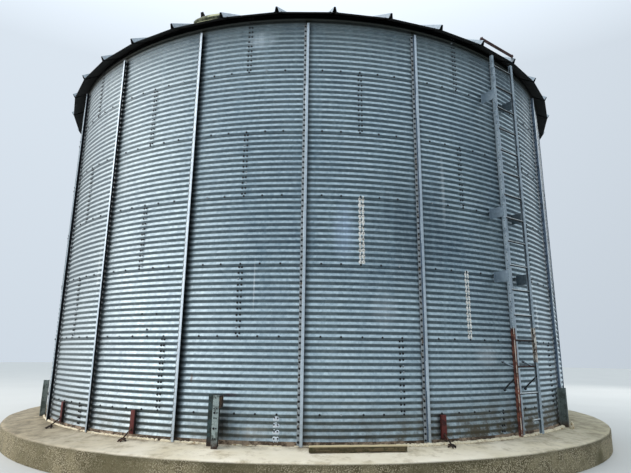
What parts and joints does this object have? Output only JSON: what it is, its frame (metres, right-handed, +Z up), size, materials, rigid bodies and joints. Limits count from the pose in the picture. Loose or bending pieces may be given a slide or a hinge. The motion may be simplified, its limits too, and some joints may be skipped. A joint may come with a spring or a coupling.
{
  "type": "grain silo",
  "caption": "Round corrugated galvanised steel grain silo with outside stiffeners, a conical ribbed roof and a wall ladder, on a low concrete plinth.",
  "frame": {"origin": "middle of the plinth's underside", "axes": "+Z up the silo's axis, -Y towards the front, +X to the right of someone facing the front"},
  "size_m": [10, 10, 8.5167],
  "materials": {
    "concrete": "rough cast concrete, mossy and dark on its face",
    "galvanised_sheet": "weathered galvanised, satin",
    "galvanised_post": "galvanised, satin",
    "roof_sheet": "weathered galvanised, dull",
    "rusty_steel": "rusted",
    "ladder_steel": "worn zinc with rust",
    "maroon_primer": "faded maroon primer",
    "weathered_zinc": "dull weathered zinc",
    "cream_paint": "faded cream paint",
    "old_timber": "wet, mossy and rough"
  },
  "bodies": {
    "root": {"plinth": "concrete", "base_angle": "rusty_steel", "wall_course_1": "galvanised_sheet", "wall_course_2": "galvanised_sheet", "wall_course_3": "galvanised_sheet", "wall_course_4": "galvanised_sheet", "wall_course_5": "galvanised_sheet", "wall_course_6": "galvanised_sheet", "wall_course_7": "galvanised_sheet", "stiffener_01": "galvanised_post", "stiffener_02": "galvanised_post", "stiffener_03": "galvanised_post", "stiffener_04": "galvanised_post", "stiffener_05": "galvanised_post", "stiffener_06": "galvanised_post", "stiffener_07": "galvanised_post", "stiffener_08": "galvanised_post", "stiffener_09": "galvanised_post", "stiffener_10": "galvanised_post", "stiffener_11": "galvanised_post", "stiffener_12": "galvanised_post", "stiffener_13": "galvanised_post", "stiffener_14": "galvanised_post", "stiffener_15": "galvanised_post", "stiffener_16": "galvanised_post", "stiffener_17": "galvanised_post", "stiffener_18": "galvanised_post", "stiffener_19": "galvanised_post", "stiffener_20": "galvanised_post", "roof_sector_1": "roof_sheet", "roof_sector_2": "roof_sheet", "roof_sector_3": "roof_sheet", "roof_sector_4": "roof_sheet", "roof_sector_5": "roof_sheet", "peak_collar": "roof_sheet", "peak_cap": "roof_sheet", "roof_hatch_curb": "cream_paint", "roof_hatch_lid": "cream_paint", "wall_ladder": "ladder_steel", "eave_bar": "rusty_steel", "anchor_1": "maroon_primer", "anchor_2": "maroon_primer", "anchor_3": "maroon_primer", "anchor_4": "maroon_primer", "anchor_5": "maroon_primer", "base_post_1": "weathered_zinc", "base_post_2": "weathered_zinc", "base_post_3": "weathered_zinc", "base_post_4": "weathered_zinc", "base_post_5": "weathered_zinc", "foot_board": "old_timber"}
  },
  "joints": []
}
